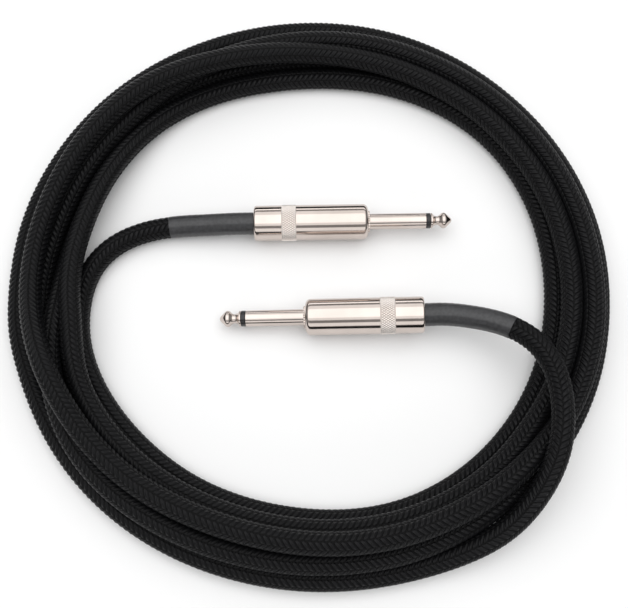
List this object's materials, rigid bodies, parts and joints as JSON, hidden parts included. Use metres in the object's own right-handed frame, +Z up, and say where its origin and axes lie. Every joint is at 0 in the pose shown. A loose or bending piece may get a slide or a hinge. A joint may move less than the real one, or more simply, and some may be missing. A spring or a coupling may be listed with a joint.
{
  "type": "instrument cable",
  "caption": "Braided instrument cable in a loose round coil, with a mono quarter-inch phone plug on each end; each metal barrel unscrews.",
  "frame": {"origin": "on the surface that the cable lies on, in the middle of the coil", "axes": "+Z up from the surface; +X along plug a's finger to within 1 degree, towards its tip; +Y across the coil from plug b to plug a"},
  "size_m": [0.243, 0.243, 0.0247],
  "materials": {
    "nickel": "polished nickel plate",
    "brass": "machined",
    "tinned_terminal": "tinned sheet metal",
    "copper": "stranded bare copper",
    "black_plastic": "moulded, glossy",
    "fibre": "vulcanised fibre",
    "core_insulation": "extruded",
    "inner_jacket": "matt",
    "liner_film": "satin",
    "shrink_sleeve": "shrunk sleeve, satin",
    "braid": "herringbone braid"
  },
  "bodies": {
    "cable": {"tip_contact_a": "nickel", "tip_insulator_a": "black_plastic", "sleeve_contact_a": "nickel", "threaded_body_a": "brass", "seat_ring_a": "nickel", "ground_lug_a": "tinned_terminal", "insulating_washer_a": "fibre", "tip_lug_a": "tinned_terminal", "core_wire_a": "core_insulation", "shield_pigtail_a": "copper", "jacket_end_a": "inner_jacket", "tip_contact_b": "nickel", "tip_insulator_b": "black_plastic", "sleeve_contact_b": "nickel", "threaded_body_b": "brass", "seat_ring_b": "nickel", "ground_lug_b": "tinned_terminal", "insulating_washer_b": "fibre", "tip_lug_b": "tinned_terminal", "core_wire_b": "core_insulation", "shield_pigtail_b": "copper", "jacket_end_b": "inner_jacket", "strain_relief_a": "shrink_sleeve", "strain_relief_b": "shrink_sleeve", "cable_run_a": "braid", "cable_run_b": "braid", "cable_coil": "braid"},
    "liner_a": {"liner_a": "liner_film"},
    "barrel_a": {"barrel_a": "nickel"},
    "liner_b": {"liner_b": "liner_film"},
    "barrel_b": {"barrel_b": "nickel"}
  },
  "joints": [
    {"name": "barrel_a_back", "type": "slide", "parent": "cable", "child": "liner_a", "axis": [-0.9998, -0.0175, 0], "range_m": [0, 0.0048]},
    {"name": "barrel_a_turn", "type": "hinge", "parent": "liner_a", "child": "barrel_a", "pos_m": [0.0226, 0.0264, 0.00725], "axis": [-0.9998, -0.0175, 0], "range_deg": [0, 2161]},
    {"name": "barrel_b_back", "type": "slide", "parent": "cable", "child": "liner_b", "axis": [0.9976, 0, 0.0698], "range_m": [0, 0.0048]},
    {"name": "barrel_b_turn", "type": "hinge", "parent": "liner_b", "child": "barrel_b", "pos_m": [-0.0024, -0.0143, 0.00715], "axis": [0.9976, 0, 0.0698], "range_deg": [0, 2161]}
  ],
  "couplings": [
    {"joint": "barrel_a_turn", "follows": "barrel_a_back", "rad_per_m": 7854},
    {"joint": "barrel_b_turn", "follows": "barrel_b_back", "rad_per_m": 7854}
  ]
}
